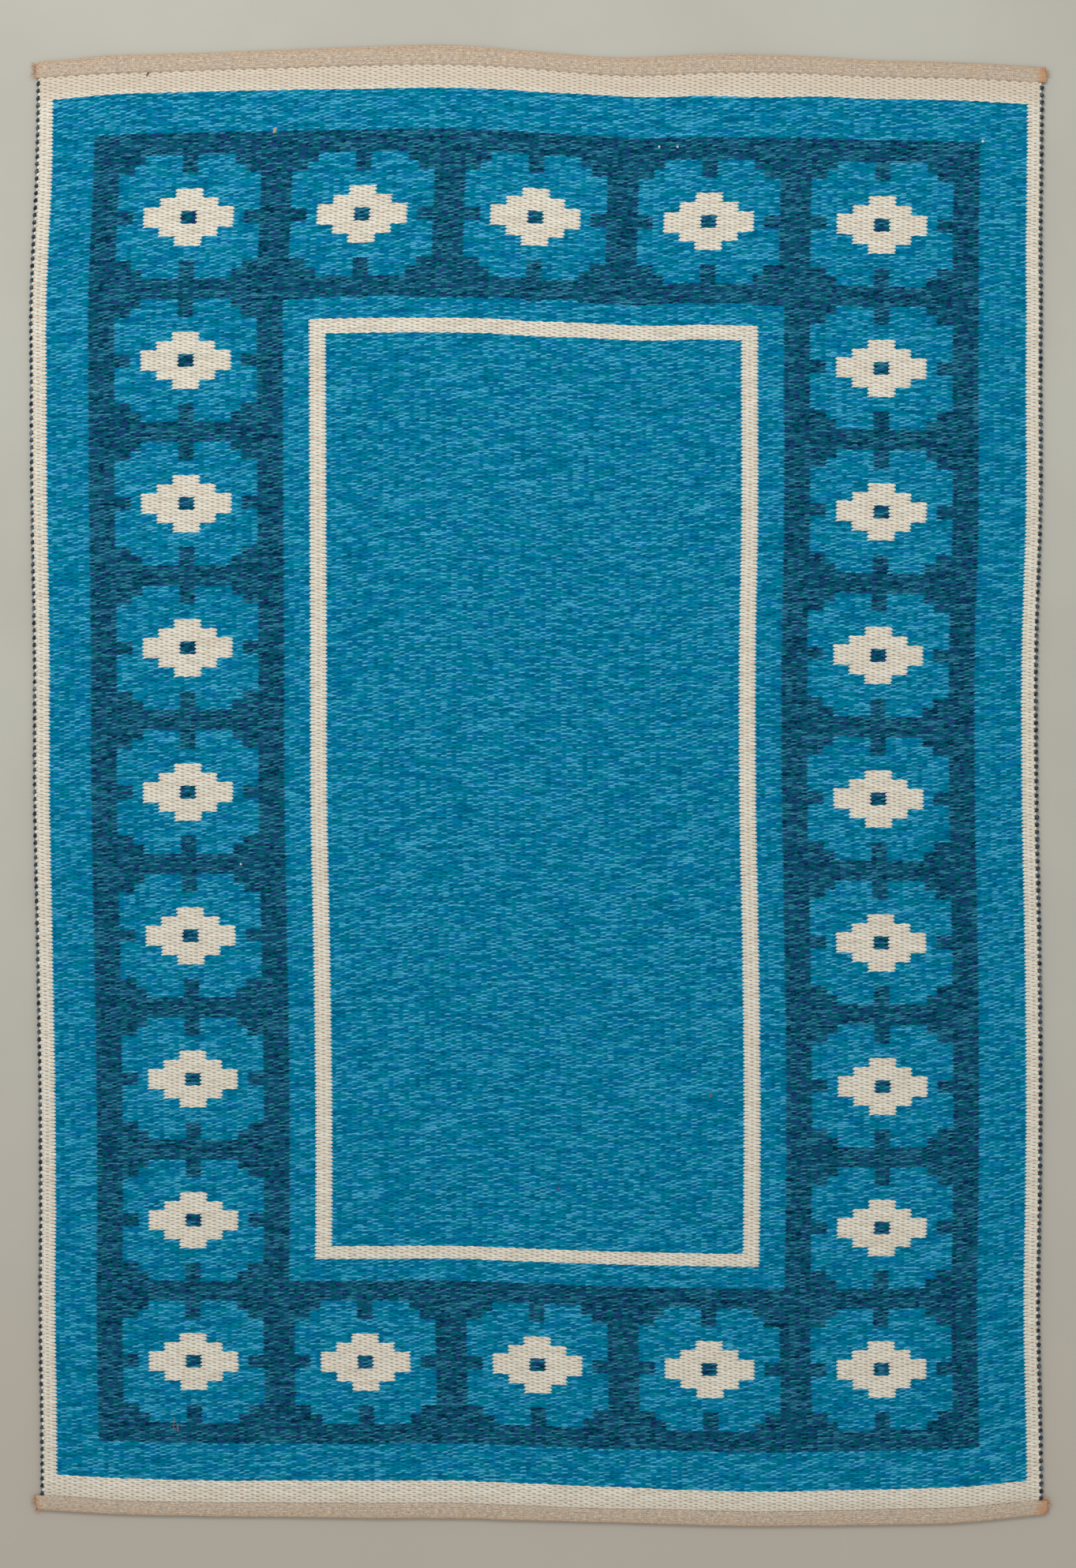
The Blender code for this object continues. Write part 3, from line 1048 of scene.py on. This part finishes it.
def weft_turns_tree():
    """A loop of yarn round the selvedge at every point of the given mesh."""
    wires, given, results = geometry_tree(
        "weft turns",
        {
            "Turn radius": 2.2 * MM,
            "Yarn radius": 1.0 * MM,
            "Row width": 1.8,
            "Facing": 0.0,
            "Lean": 0.0,
            "Looseness": 0.12,
            "Seed": 1,
            "Yarn": None,
        },
    )
    arc = wires.fit(
        "GeometryNodeCurveArc",
        {
            "Resolution": 8,
            "Radius": given["Turn radius"],
            "Start Angle": math.radians(-112),
            "Sweep Angle": math.radians(224),
        },
    )
    loop = yarn_along(wires, arc, 7, given["Yarn radius"])
    upright = (math.radians(90), 0.0, 0.0)
    loop = wires.fit("GeometryNodeTransform", {"Geometry": loop, "Rotation": upright})
    wider = wires.join(1.0, given["Row width"], 1.0)
    loop = wires.fit("GeometryNodeTransform", {"Geometry": loop, "Scale": wider})
    loose = given["Looseness"]
    low = wires.take(1.0, loose)
    high = wires.add(1.0, loose)
    size = wires.fit(
        "FunctionNodeRandomValue",
        {"Min": wires.join(low, low, low), "Max": wires.join(high, high, 1.0), "Seed": given["Seed"]},
        data_type="FLOAT_VECTOR",
    )
    swing_seed = wires.add(given["Seed"], 11.0)
    swing = wires.fit(
        "FunctionNodeRandomValue",
        {2: wires.times(loose, -1.2), 3: wires.times(loose, 1.2), "Seed": swing_seed},
        data_type="FLOAT",
    )
    heading = wires.add(wires.add(given["Facing"], given["Lean"]), swing.outputs[1])
    turn = wires.join(0.0, 0.0, heading)
    lay_out(wires, results, given["Geometry"], loop, turn, size, given["Yarn"])
    return wires.tree


def loose_ends_tree():
    """A tuft of short curled fibres scattered in the given mesh's faces."""
    wires, given, results = geometry_tree(
        "loose ends",
        {
            "Density": 400000.0,
            "Fibre length": 6.0 * MM,
            "Fibre radius": 0.25 * MM,
            "Seed": 1,
            "Fibre": None,
        },
    )
    scatter = wires.fit(
        "GeometryNodeDistributePointsOnFaces",
        {"Mesh": given["Geometry"], "Density": given["Density"], "Seed": given["Seed"]},
    )
    curl = wires.fit("GeometryNodeCurvePrimitiveBezierSegment", {"Resolution": 4})
    for label, shares in (
        ("Start", (0.0, 0.0, 0.0)),
        ("Start Handle", (0.0, 0.25, 0.3)),
        ("End Handle", (0.6, -0.1, 0.35)),
        ("End", (1.0, 0.15, 0.0)),
    ):
        place = [wires.times(given["Fibre length"], share) for share in shares]
        wires.feed(curl.inputs[label], wires.join(*place))
    hair = yarn_along(wires, curl, 4, given["Fibre radius"])
    swing = wires.fit(
        "FunctionNodeRandomValue",
        {"Min": (-0.25, -0.25, -3.14), "Max": (0.25, 0.25, 3.14), "Seed": given["Seed"]},
        data_type="FLOAT_VECTOR",
    )
    size = wires.fit(
        "FunctionNodeRandomValue",
        {2: 0.5, 3: 1.2, "Seed": wires.add(given["Seed"], 5.0)},
        data_type="FLOAT",
    )
    lay_out(wires, results, scatter, hair, swing, size.outputs[1], given["Fibre"])
    return wires.tree


def grow(name, seed_mesh, tree, **values):
    """Run a Geometry Nodes tree over a mesh and keep the result as a plain mesh piece."""
    guide = bpy.data.objects.new(name + "_guide", seed_mesh)
    bpy.context.scene.collection.objects.link(guide)
    modifier = guide.modifiers.new("grow", "NODES")
    modifier.node_group = tree
    given = [item for item in tree.interface.items_tree if item.in_out == "INPUT"]
    sockets = {item.name: item.identifier for item in given}
    for label, value in values.items():
        modifier[sockets[label.replace("_", " ").capitalize()]] = value
    bpy.context.view_layer.update()
    evaluated = guide.evaluated_get(bpy.context.evaluated_depsgraph_get())
    mesh = bpy.data.meshes.new_from_object(evaluated)
    mesh.name = name
    bpy.data.objects.remove(guide, do_unlink=True)
    thing = bpy.data.objects.new(name, mesh)
    bpy.context.scene.collection.objects.link(thing)
    return thing


def points_mesh(name, points):
    """A mesh of loose points for a tree to grow on."""
    mesh = bpy.data.meshes.new(name)
    mesh.from_pydata([tuple(p) for p in points], [], [])
    return mesh


def make_turns(name, side, inset, level, first_row, tree, **values):
    """Weft turns down one selvedge, one to every four rows."""
    rows = np.arange(first_row, ROWS, TURN_ROWS, dtype=float)
    warp = 0.0 if side < 0 else float(WARPS)
    y = thread_place(np.full(len(rows), warp), rows)[1]
    x = left_edge(y) if side < 0 else right_edge(y)
    points = [(a - side * inset, b, level) for a, b in zip(x, y)]
    facing = math.pi if side < 0 else 0.0
    return grow(name, points_mesh(name, points), tree, facing=facing, **values)


def make_corner(name, x, y, width, depth, tree, **values):
    """A tuft of loose ends at one corner of the rug."""
    mesh = bpy.data.meshes.new(name)
    height = 3.0 * MM
    corners = [(x - width / 2, y - depth / 2), (x + width / 2, y - depth / 2)]
    corners += [(x + width / 2, y + depth / 2), (x - width / 2, y + depth / 2)]
    mesh.from_pydata([(a, b, height) for a, b in corners], [], [(0, 1, 2, 3)])
    return grow(name, mesh, tree, **values)


# The pieces

wool = double_weave_material()
cream_turn = turn_material("cream weft turn", CREAM_YARN, 0.08)
dark_turn = turn_material("dark weft turn", TURNED_YARN, 0.15)
tape_cloth = heading_material()
rust = rust_material()

cloth = make_cloth(wool)
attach(cloth, "root")
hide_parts("rug_cloth")

heading_ends = {}
for name, node, fold_line, towards_middle, row, overhangs, seed in (
    ("far_tape", "heading_far", far_fold, -1, 0, (0.6 * MM, 3.0 * MM), 1.7),
    ("near_tape", "heading_near", near_fold, 1, ROWS, (6.0 * MM, 6.0 * MM), 4.3),
):
    tape = make_heading(name, fold_line, towards_middle, row, overhangs, seed, tape_cloth)
    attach(tape, "root")
    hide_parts(node)

turns = weft_turns_tree()
turn_pieces = []
for label, side, reach in (("left", -1, 0.2 * MM), ("right", 1, 1.2 * MM)):
    cream_loops = make_turns(
        "cream_turns_" + label, side, 5.0 * MM, CLOTH_THICKNESS / 2 + 0.2 * MM, 1.0, turns,
        turn_radius=2.0 * MM, yarn_radius=1.0 * MM, row_width=2.2, lean=-0.3, seed=3, yarn=cream_turn,
    )
    dark_loops = make_turns(
        "dark_turns_" + label, side, 3.0 * MM - reach, CLOTH_THICKNESS / 2, 3.0, turns,
        turn_radius=1.9 * MM, yarn_radius=1.1 * MM, row_width=2.7, lean=-0.42, seed=8, yarn=dark_turn,
    )
    turn_pieces += [cream_loops, dark_loops]
for piece in turn_pieces:
    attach(piece, "root")

tufts = loose_ends_tree()
CornerTuft = namedtuple("CornerTuft", "name x y width depth seed")
CORNERS = (
    CornerTuft("loose_ends_far_left", -0.686, 0.975, 0.006, 0.018, 2),
    CornerTuft("loose_ends_far_right", 0.690, 0.971, 0.008, 0.014, 5),
    CornerTuft("loose_ends_near_left", -0.682, -0.978, 0.009, 0.020, 7),
    CornerTuft("loose_ends_near_right", 0.692, -0.980, 0.006, 0.020, 9),
)
for corner in CORNERS:
    tuft = make_corner(
        corner.name, corner.x, corner.y, corner.width, corner.depth, tufts, seed=corner.seed, fibre=rust
    )
    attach(tuft, "root")

# The floor, the light and the camera

floor_mesh = bpy.data.meshes.new("floor")
floor_mesh.from_pydata(
    [(-6, -6, -0.0003), (6, -6, -0.0003), (6, 6, -0.0003), (-6, 6, -0.0003)], [], [(0, 1, 2, 3)]
)
floor_mesh.materials.append(floor_material())
floor = bpy.data.objects.new("floor", floor_mesh)
bpy.context.scene.collection.objects.link(floor)

world = bpy.data.worlds.new("soft room")
bpy.context.scene.world = world
world.use_nodes = True
sky = world.node_tree.nodes["Background"]
sky.inputs["Color"].default_value = (1.0, 0.995, 0.985, 1.0)
sky.inputs["Strength"].default_value = 0.74

lamp = bpy.data.lights.new("window", "AREA")
lamp.shape = "RECTANGLE"
lamp.size = 2.2
lamp.size_y = 1.4
lamp.energy = 62.0
lamp.color = (1.0, 0.985, 0.96)
window = bpy.data.objects.new("window", lamp)
window.location = (-0.9, 2.3, 3.0)
aim = Vector((0.0, 0.0, 0.0)) - window.location
window.rotation_euler = aim.to_track_quat("-Z", "Y").to_euler()
bpy.context.scene.collection.objects.link(window)

lens = bpy.data.cameras.new("camera")
lens.lens = 90.0
lens.sensor_width = 36.0
lens.clip_end = 50.0
camera = bpy.data.objects.new("camera", lens)
camera.location = (0.0, 0.0027, CLOTH_THICKNESS + 5.340)
bpy.context.scene.collection.objects.link(camera)
bpy.context.scene.camera = camera
bpy.context.scene.view_settings.view_transform = "Standard"
